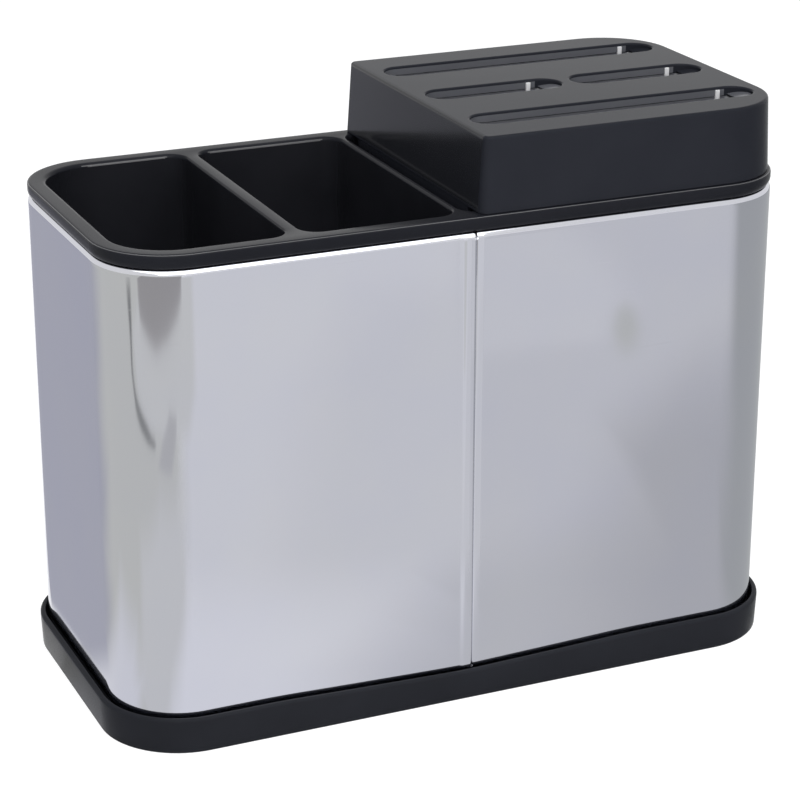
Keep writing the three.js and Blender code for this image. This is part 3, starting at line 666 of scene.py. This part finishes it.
def block_outline(bm, z, inward):
    """The block's outline at a height: its walls lean in as they rise, the left one most."""
    rise = (z - RIM_TOP) / (BLOCK_TOP - RIM_TOP)
    leaned = moved_in(BLOCK_PLAN, inward + LEFT_LEAN * rise, *[inward + LEAN * rise] * 3)
    leaned["radii"] = [max(r - inward - LEAN * rise, 0.3) for r in BLOCK_PLAN["radii"]]
    return outline(bm, leaned, z)


def shine_left_side(bm):
    """Gives the wall beside the cups, up to the flat top, its shinier finish."""
    for face in bm.faces:
        middle = face.calc_center_median()
        if middle.x < 6 and abs(middle.y) < 1 and RIM_TOP + 1 < middle.z < BLOCK_TOP - 0.02:
            face.material_index = 3


def dark_end(bm, right):
    """Puts the slot walls right of a slot's glint strip back from the sleeves' painted lighter grey
    into the cap's own finish.
    """
    for face in bm.faces:
        x = face.calc_center_median().x
        if right - GLINT_STRIP_RIGHT + 0.2 < x < right + 0.5 and face.material_index == 1:
            face.material_index = 0


def ledge(bm, left, right, middle, half, low, high):
    """A sloping shelf at the end of a slot: a bar whose free top edge is lowered."""
    made = bar(bm, left, right, middle - half, middle + half, low, high, finish=1)
    free = [v for v in made if v.co.x < (left + right) / 2 and v.co.z > (low + high) / 2]
    bmesh.ops.translate(bm, verts=free, vec=(0, 0, 0.9 * (low - high)))


def block_cap():
    bm = bmesh.new()
    profile = [(RIM_TOP, 0.3), (RIM_TOP + 0.3, 0), (RIM_TOP + 1, 0), (BLOCK_TOP - 1.6, 0)]
    profile += rounding(BLOCK_TOP, 1.0, 0.9) + [(BLOCK_TOP, 1.3)]
    outer = [block_outline(bm, z, inward) for z, inward in profile]
    inner = [block_outline(bm, z, CAP_WALL) for z in (RIM_TOP, CAP_UNDER)]
    wall(bm, outer)
    shine_left_side(bm)
    wall(bm, inner)
    bmesh.ops.bridge_loops(bm, edges=outer[0] + inner[0])
    above, below = [], []
    for left, right, middle in SLOTS.values():
        rings = []
        for z, grow in reversed(rounding(BLOCK_TOP, SLOT_EDGE, SLOT_EDGE, steps=5)):
            rings.append(slot_outline(bm, left - grow, right + grow, middle,
                                      SLOT_WIDTH + 2 * grow, z))
        rings.insert(0, slot_outline(bm, left - 1, right + 1, middle, SLOT_WIDTH + 2, BLOCK_TOP))
        rings.append(slot_outline(bm, left, right, middle, SLOT_WIDTH, BLOCK_TOP - 0.9))
        wall(bm, rings)
        rings.append(slot_outline(bm, left, right, middle, SLOT_WIDTH, CAP_UNDER))
        # the rest of each slot's wall takes the sleeves' lighter grey, as painted light
        wall(bm, rings[-2:], finish=1)
        dark_end(bm, right)
        above.append(rings[0])
        below.append(rings[-1])
        # a pale strip on the slot's back wall: a painted highlight
        bar(bm, right - GLINT_STRIP_RIGHT - 1.8, right - GLINT_STRIP_RIGHT, middle + 6.7, middle + 8,
            CAP_UNDER - 3, BLOCK_TOP - 1, 0.25, finish=2)
        # a sloping ledge in the sleeves' painted lighter grey: a glint, partly painted
        ledge(bm, right - 5.5, right + 1, middle, 7.6, CAP_UNDER + 0.4, BLOCK_TOP - 1.2)
    lid(bm, outer[-1], above)
    lid(bm, inner[-1], below)
    bar(bm, 3.2, 5.0, -49, 49, RIM_TOP - 6, RIM_TOP + 3.3, 0.4)
    for y in (-19, 19):
        bar(bm, 5.7, 126.6, y - 0.8, y + 0.8, CAP_UNDER - 7, CAP_UNDER + 1)
        for x in (18.6, 113.7):
            peg(bm, x, y, 3.5, RIM_TOP + 2.2, CAP_UNDER + 1)
    finished("block_cap_moulding", bm, [SATIN_BLOCK, SLEEVE_PAINTED_LIGHT, PAINTED_GLINT_STRIP, GLOSS_FLANK],
             "knife_block", ["block_cap"])


block_cap()

# %% [markdown]
# ## The blade sleeves
# A sleeve of glossy plastic hangs under every slot, its lighter grey painted light for the
# light on the slot walls. Its ends slope in just below the cap.
# From there it goes down into the well, through the plate that carries it by a collar.

# %% Build the sleeves
SLEEVE_FOOT, SLEEVE_TOP, COLLAR = 150.2, CAP_UNDER - 0.3, 185.4


def sleeve(name, left, right, middle):
    """One shell, up the inside and down the outside. Each row of the profile is a height, how
    far the ends lean in, and how far the outline lies outside the slot's."""
    bm = bmesh.new()
    profile = (
        (SLEEVE_FOOT, 5, 0.3), (COLLAR, 5, 0.3), (SLEEVE_TOP - 5, 4.8, 0.3),
        (SLEEVE_TOP - 4.2, 4.5, 0.3), (SLEEVE_TOP, 0, 0.3), (SLEEVE_TOP, 0, 1.8),
        (COLLAR + 1.5, 4.7, 1.8), (COLLAR + 1.5, 4.7, 3.3), (COLLAR, 5, 3.3),
        (COLLAR, 5, 1.8), (SLEEVE_FOOT, 5, 1.8),
    )
    rings = [slot_outline(bm, left + lean - grow, right - lean + grow, middle,
                          SLOT_WIDTH + 2 * grow, z) for z, lean, grow in profile]
    wall(bm, rings)
    bmesh.ops.bridge_loops(bm, edges=rings[-1] + rings[0])
    finished("sleeve_" + name, bm, [SLEEVE_PAINTED_LIGHT], "knife_block",
             ["blade_sleeve_" + name])


for slot_name, ends_and_middle in SLOTS.items():
    sleeve(slot_name, *ends_and_middle)

# %% [markdown]
# ## The drip tray and its feet
# The tray is a low pan: its lip stands a little way out from the steel all round, and sags a
# little at the front. Pads on its floor carry the caddy so that drips run under it. Four
# rubber feet sit in shallow sockets in its underside.

# %% Build the tray
LIP_OUT, LIP_IN, WALL_FOOT = -3.2, -1.2, 0.12
SOCKETS = ((-106, -39), (-106, 39), (106, -39), (106, 39))


def base_tray():
    bm = bmesh.new()
    profile = [(TRAY_FOOT, -1.0), (TRAY_FOOT, -1.4), (WALL_FOOT, -1.6), (WALL_FOOT, -2.4)]
    profile += reversed(rounding(WALL_FOOT, 0.3, -0.3, -2.7, 4))
    profile += [(TRAY_TOP - 2, LIP_OUT)] + rounding(TRAY_TOP, 1.0, 1.2, LIP_OUT)
    profile += [(z, 2 * LIP_IN - d) for z, d in reversed(rounding(TRAY_TOP, 0.5, 0.6, LIP_IN, 4))]
    profile += [(TRAY_FLOOR + 2.4, LIP_IN)] + rounding(TRAY_FLOOR, 2, -2, LIP_IN, 5)
    profile += [(TRAY_FLOOR, 1.3)]
    rings = outlines(bm, STEEL_PLAN, profile, 20)
    wall(bm, rings)
    sockets = []
    for x, y in SOCKETS:
        socket = [circle(bm, x, y, 8.3, z, 48) for z in (TRAY_FOOT, TRAY_FOOT + 1)]
        wall(bm, socket)
        lid(bm, socket[1])
        sockets.append(socket[0])
    lid(bm, rings[0], sockets)
    lid(bm, rings[-1])
    for x in (-94, 0, 94):
        for y in (-50.5, 50.5):
            pad = [slot_outline(bm, x - 11 + d, x + 11 - d, y, 7 - 2 * d, z, 24)
                   for z, d in ((TRAY_FLOOR - 1, 0), (TRAY_FLOOR + 5, 0), (TRAY_FLOOR + 5.5, 0.5))]
            wall(bm, pad)
            lid(bm, pad[0])
            lid(bm, pad[-1])
    front = [e for e in bm.edges
             if e.calc_length() > 100 and all(v.co.y < -60 and v.co.z > 9 for v in e.verts)]
    bmesh.ops.subdivide_edges(bm, edges=front, cuts=24, use_grid_fill=True)
    sagged(bm, 9, 14, SAG)
    finished("drip_tray", bm, [SATIN_TRAY], "tray", ["base_tray"])


base_tray()

# %% [markdown]
# ## Feet
# A foot is a flat turned pad with shallow grooves in its tread. It takes its place from the
# CAD part that it stands for.

# %% Turn the feet
def turned(bm, profile, x, y, z, segments=40):
    """Spins a profile of radius and height about an upright axis."""
    column = line(bm, [(x + r, y, z + h) for r, h in profile])
    edges = list({e for v in column for e in v.link_edges})
    bmesh.ops.spin(bm, geom=column + edges, cent=(x, y, z), axis=(0, 0, 1),
                   angle=2 * math.pi, steps=segments, use_merge=True)


def foot(node):
    low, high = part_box(node)
    x, y = ((a + b) / 2 / MM for a, b in zip(low.xy, high.xy))
    bm = bmesh.new()
    profile = [(0, 0.25), (3.2, 0.25), (3.5, 0), (5.2, 0), (5.5, 0.25), (6.1, 0.25), (6.4, 0),
               (7.5, 0), (7.85, 0.15), (8, 0.5), (8, 1.5), (0, 1.5)]
    turned(bm, profile, x, y, 0)
    finished(node + "_pad", bm, [RUBBER], "tray", [node])


for foot_name in ("foot_front_left", "foot_front_right", "foot_back_left", "foot_back_right"):
    foot(foot_name)

# %% [markdown]
# ## Screws
# Ten countersunk screws hold the caddy and the block together from below. Each is a turned
# profile with thread rings on its shank, and a cross recess cut in its head.

# %% Make the screws
def cross_outline(bm, x, y, z, reach, half):
    """The edges of a cross: a grid of nine faces without its corners."""
    made = bmesh.ops.create_grid(bm, x_segments=3, y_segments=3, size=1)["verts"]
    corners = [v for v in made if abs(v.co.x * v.co.y) > 0.9]
    made = [v for v in made if v not in corners]
    bmesh.ops.delete(bm, geom=corners, context="VERTS")
    inner = [e for e in {e for v in made for e in v.link_edges} if len(e.link_faces) == 2]
    bmesh.ops.delete(bm, geom=inner, context="EDGES_FACES")
    for v in made:
        across, along = (math.copysign(reach if abs(c) > 0.9 else half, c) for c in v.co.xy)
        v.co = (x + across, y + along, z)
    return list({e for v in made for e in v.link_edges})


def cross_screw(node, body):
    """A screw, its head down. Each row of the profile is a radius and a height."""
    low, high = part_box(node)
    x, y = ((a + b) / 2 / MM for a, b in zip(low.xy, high.xy))
    z = low.z / MM
    thread = []
    for i in range(8):
        thread += [(1.1, 2.0 + 0.8 * i), (1.45, 2.4 + 0.8 * i)]
    profile = [(2.6, 0), (2.8, 0.15), (1.45, 1.5), (1.1, 1.7)] + thread + [(1.0, 8.5), (0, 10)]
    bm = bmesh.new()
    turned(bm, profile, x, y, z, 24)
    recess = [cross_outline(bm, x, y, z + h, 1.5 - 0.5 * h, 0.34) for h in (0, 1.1)]
    wall(bm, recess)
    lid(bm, recess[1])
    lid(bm, circle(bm, x, y, 2.6, z, 24), recess[:1])
    finished(node + "_zinc", bm, [ZINC], body, [node], 30)


for number in range(1, 7):
    cross_screw(f"frame_screw_{number}", "caddy")
for number in range(1, 5):
    cross_screw(f"block_screw_{number}", "knife_block")

# %% [markdown]
# ## Parts that stay as the CAD made them
# The frame under the cups, the knife well and the guide plate are right as they are, and
# only show from below or once the block is lifted off. They get the finishes of their kind.

# %% Give the CAD parts their finish
kept = {"bottom_frame": SATIN_TRAY, "knife_well": GLOSS_CUP, "guide_plate": SATIN_BLOCK}
for node, finish in kept.items():
    for material_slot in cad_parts[node].material_slots:
        material_slot.material = finish
print("kept:", [n for n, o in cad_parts.items() if not o.hide_render])

# %% [markdown]
# ## Floor and background
# The photograph was taken in a white studio. The world lights the object evenly, and the
# floor is pale and keeps a soft shadow. Both show white to the camera and in reflections,
# and neither puts more light on the object for that.

# %% Set up the background and the floor
def seen(tree):
    """1 for camera, mirror and glass rays, from the Light Path node."""
    path = add(tree, "ShaderNodeLightPath")
    share = path.outputs["Is Camera Ray"]
    for ray in ("Is Glossy Ray", "Is Transmission Ray"):
        either = add(tree, "ShaderNodeMath", operation="MAXIMUM")
        tree.links.new(share, either.inputs[0])
        tree.links.new(path.outputs[ray], either.inputs[1])
        share = either.outputs[0]
    return share


def show_mix(tree, share, one, other, output="ShaderNodeOutputMaterial"):
    """Mixes two shaders by a share and shows the result."""
    mix = add(tree, "ShaderNodeMixShader")
    for source, socket in zip((share, one.outputs[0], other.outputs[0]), mix.inputs):
        tree.links.new(source, socket)
    tree.links.new(mix.outputs[0], add(tree, output).inputs["Surface"])


def studio_world():
    world = bpy.data.worlds.new("white_studio")
    world.use_nodes = True
    scene.world = world
    tree = world.node_tree
    tree.nodes.clear()
    place = add(tree, "ShaderNodeTexCoord")
    split = add(tree, "ShaderNodeSeparateXYZ")
    tree.links.new(place.outputs["Generated"], split.inputs[0])
    level = remap(tree, split.outputs["Y"], -1, 1, 0.5, 0.42)
    room = add(tree, "ShaderNodeBackground", in_Color=(0.97, 0.98, 1.0, 1))
    tree.links.new(level, room.inputs["Strength"])
    white = add(tree, "ShaderNodeBackground", in_Color=(1, 1, 1, 1), in_Strength=1.0)
    show_mix(tree, seen(tree), room, white, "ShaderNodeOutputWorld")


def staged(name, bm, finish):
    """A piece of the studio with an empty material, and the nodes of that."""
    mesh = bpy.data.meshes.new(name)
    bm.to_mesh(mesh)
    bm.free()
    piece = bpy.data.objects.new(name, mesh)
    scene.collection.objects.link(piece)
    material = bpy.data.materials.new(finish)
    material.use_nodes = True
    material.node_tree.nodes.clear()
    mesh.materials.append(material)
    return piece, material.node_tree


def floor():
    bm = bmesh.new()
    bmesh.ops.create_grid(bm, x_segments=1, y_segments=1, size=12)
    tree = staged("floor", bm, "pale_floor")[1]
    paper = add(tree, "ShaderNodeBsdfDiffuse", in_Color=(0.86, 0.86, 0.87, 1))
    white = add(tree, "ShaderNodeEmission", in_Color=(1, 1, 1, 1), in_Strength=1.4)
    share = add(tree, "ShaderNodeMath", operation="MULTIPLY")
    share.inputs[1].default_value = 0.6
    tree.links.new(seen(tree), share.inputs[0])
    show_mix(tree, share.outputs[0], paper, white)


studio_world()
floor()
print("world:", scene.world.name)

# %% [markdown]
# ## Cards for the reflections
# Polished steel shows what stands round it. The photographer's flags and stands aren't in the
# picture, but the steel mirrors them: blue-grey on the left side, a long warm grey one round
# the left corner with a dark shape and a thin line in it, and two greys on the front. Flat
# cards stand for them. They lie just above the floor, one over another, and only reflections
# see them. Their edges fade, so that none draws a hard line where the photograph has none.

# %% Lay out the cards
# each card's name, height above the floor, colour, width of its soft edge and corners, and
# the corners of its core, if it fades from one outline to the other
CARDS = (
    # beside the left side: its greys, and pale spots at its foot
    ("card_left", 0.5, (0.73, 0.735, 0.70), 1,
     ((-120, -10), (-330, 460), (-600, 1200), (-1600, 1200), (-1600, -1200), (-60, -1200),
      (-90, -550), (-80, -300), (-95, -130), (-100, -60)),
     ((-121, -12), (-340, 460), (-612, 1190), (-1590, 1190), (-1590, -1190), (-260, -1190),
      (-235, -550), (-195, -300), (-145, -130), (-121, -62))),
    ("card_left_back", 0.7, (0.50, 0.505, 0.575), 1,
     ((-138.5, -34), (-165, -34), (-250, 30), (-390, 110), (-600, 280), (-1000, 750),
      (-1300, 1200), (-138.5, 1200)),
     ((-141.5, -32), (-141.8, -25), (-155, 60), (-185, 150), (-240, 330), (-400, 850),
      (-505, 1190), (-141.5, 1190))),
    ("card_low_corner", 0.55, (0.80, 0.805, 0.80), 1,
     ((-131, -60), (-210, -60), (-330, -110), (-290, -260), (-160, -330), (-100, -200),
      (-105, -62)),
     ((-132, -66), (-180, -75), (-250, -110), (-235, -190), (-170, -230), (-125, -170),
      (-118, -70))),
    ("card_low_left", 0.75, (0.90, 0.905, 0.945), 1,
     ((-131, 32), (-190, 38), (-300, 15), (-250, -75), (-185, -80), (-131, -60)),
     ((-132, -12), (-165, -12), (-176, -20), (-172, -38), (-158, -46), (-133, -42))),
    # round the left corner: a warm grey, with a dark shape and a line in it
    ("card_corner", 0.58, (0.80, 0.805, 0.79), 1,
     ((-560, -170), (-440, -175), (-360, -235), (-290, -285), (-190, -325), (-80, -345),
      (0, -400), (20, -480), (45, -600), (60, -700), (-200, -800), (-600, -480)),
     ((-545, -195), (-450, -200), (-385, -245), (-310, -310), (-200, -362), (-95, -392),
      (-50, -425), (-32, -480), (-10, -600), (0, -690), (-200, -760), (-580, -460))),
    ("card_dark", 0.9, (0.437, 0.426, 0.423), 14,
     ((-600, -290), (-563, -278), (-526, -273), (-470, -315), (-416, -351), (-381, -375),
      (-321, -427), (-235, -487), (-166, -528), (-124, -562), (-121, -590), (-130, -1100),
      (-1000, -620))),
    ("card_line", 1.1, (0.27, 0.275, 0.27), 1,
     ((-641, -123), (-596, -135), (-546, -144), (-502, -135), (-464, -145), (-435, -150),
      (-402, -174), (-361, -213), (-327, -247), (-313, -272), (-344, -256), (-386, -232),
      (-422, -201), (-456, -170), (-497, -156), (-538, -172), (-582, -194), (-622, -209)),
     ((-634, -153), (-591, -156), (-543, -154), (-500, -142), (-461, -154), (-430, -168),
      (-396, -194), (-355, -228), (-322, -256), (-318, -263), (-350, -241), (-392, -212),
      (-427, -183), (-459, -161), (-499, -149), (-541, -162), (-587, -173), (-629, -179))),
    ("card_leg", 1.0, (0.62, 0.62, 0.62), 16,
     ((-249, -370), (-286, -310), (-303, -239), (-208, -288), (-183, -347), (-181, -386))),
    # before the left panel: its pale grey, a shade and a bright foot
    ("card_front_left", 0.4, (0.895, 0.90, 0.925), 1,
     ((-190, -71), (-215, -150), (-200, -345), (-200, -560), (-200, -1100), (495, -1100),
      (250, -562), (126, -290), (36, -71)),
     ((-125, -72), (-125, -150), (-105, -345), (-70, -560), (0, -1090), (485, -1090), (245, -562),
      (121, -290), (32, -72))),
    ("card_low_middle", 0.45, (0.841, 0.846, 0.87), 1,
     ((-75, -66), (-65, -150), (-5, -290), (45, -400), (140, -560), (330, -560), (40, -66)),
     ((-30, -67), (-25, -140), (35, -260), (85, -364), (150, -440), (260, -440), (30, -67))),
    ("card_foot", 0.6, (0.985, 0.99, 1.03), 1,
     ((-130, -60), (-155, -120), (-130, -260), (60, -190), (60, -64), (-100, -58)),
     ((-112, -62), (-118, -118), (-100, -135), (-60, -100), (-70, -66), (-104, -60))),
    # before the right panel: its grey, shades, a pale patch and a mark
    ("card_front_right", 0.7, (0.775, 0.78, 0.81), 4,
     ((5, -71), (102, -290), (226, -562), (471, -1100), (1300, -1100), (1100, -71))),
    ("card_middle_foot", 0.75, (0.715, 0.72, 0.74), 1,
     ((-90, -66), (-65, -112), (-15, -150), (20, -180), (60, -205), (130, -225), (170, -180),
      (150, -64)),
     ((8, -67), (18, -80), (30, -100), (38, -128), (60, -128), (95, -135), (110, -110),
      (100, -67))),
    ("card_high_right", 0.75, (0.83, 0.835, 0.865), 1,
     ((142, -375), (232, -570), (262, -640), (330, -640), (320, -540), (285, -430), (235, -370)),
     ((165, -410), (225, -535), (240, -565), (262, -560), (275, -520), (255, -440), (225, -400))),
    ("card_low_right", 0.8, (0.60, 0.605, 0.63), 1,
     ((15, -66), (60, -150), (180, -320), (320, -430), (520, -300), (300, -60), (112, -58)),
     ((98, -67), (120, -113), (165, -222), (235, -248), (330, -180), (200, -62), (116, -60))),
    # a grey spot that the steel reflects high on its right panel: a painted reflection
    ("card_smudge", 0.9, (0.68, 0.69, 0.66), 0.5,
     ((274, -451), (272, -433), (255, -395), (233, -360), (218, -347), (220, -365), (237, -403),
      (259, -438)),
     ((255, -415), (254, -409), (249, -398), (242, -387), (238, -383), (238, -389), (243, -400),
      (250, -411))),
    # round the right corner: a dark grey
    ("card_right", 1.1, (0.50, 0.515, 0.52), 1,
     ((108, -66), (215, -270), (370, -540), (690, -1100), (1700, -1100), (1700, 1300),
      (300, 1300), (118, 200), (118, -50)),
     ((150, -62), (350, -165), (530, -430), (920, -1000), (1690, -1090), (1690, 1290),
      (310, 1290), (122, 190), (122, -48))),
)


def card(name, height, colour, soft, corners, core=None):
    """A paper card which only glossy pieces see, clear at its rim and full in its core."""
    bm = bmesh.new()
    shade = bm.verts.layers.float.new("shade")
    verts = line(bm, [(x * MM, y * MM, height * MM) for x, y in corners])
    bmesh.ops.contextual_create(bm, geom=(verts[-1], verts[0]))
    face = bmesh.ops.contextual_create(bm, geom=list(bm.edges))["faces"][0]
    bmesh.ops.inset_region(bm, faces=[face], thickness=soft * MM, use_even_offset=True,
                           use_boundary=True)
    for v in face.verts:
        v[shade] = 1
        if core:
            nearest = min(range(len(core)), key=lambda i: (v.co - verts[i].co).length)
            v.co.xy = Vector(core[nearest]) * MM
    piece, tree = staged(name, bm, name)
    piece.visible_camera = piece.visible_diffuse = piece.visible_shadow = False
    piece.visible_transmission = piece.visible_volume_scatter = False
    edge = add(tree, "ShaderNodeAttribute", attribute_name="shade")
    fade = add(tree, "ShaderNodeMapRange", interpolation_type="SMOOTHSTEP")
    tree.links.new(edge.outputs["Fac"], fade.inputs["Value"])
    clear = add(tree, "ShaderNodeBsdfTransparent")
    glow = add(tree, "ShaderNodeEmission", in_Color=(*colour, 1), in_Strength=1.0)
    show_mix(tree, fade.outputs["Result"], clear, glow)


for row in CARDS:
    card(*row)
print(len(CARDS), "cards")

# %% [markdown]
# ## Lamps
# A large soft lamp hangs high in front of the object, and a lower one faces its front.

# %% Hang the lamps
def lamp(name, place, aim, size, power):
    data = bpy.data.lights.new(name, "AREA")
    data.shape, data.size, data.size_y, data.energy = "RECTANGLE", *size, power
    made = bpy.data.objects.new(name, data)
    scene.collection.objects.link(made)
    made.location = place
    made.rotation_euler = (Vector(aim) - Vector(place)).to_track_quat("-Z", "Y").to_euler()


lamp("overhead_softbox", (-0.35, -0.8, 1.6), (-0.35, -0.3, 0.1), (2.2, 1.6), 18.5)
lamp("front_softbox", (-0.2, -1.5, 0.95), (-0.1, 0, 0.15), (1.9, 1.1), 11)
scene.view_settings.view_transform = "Standard"
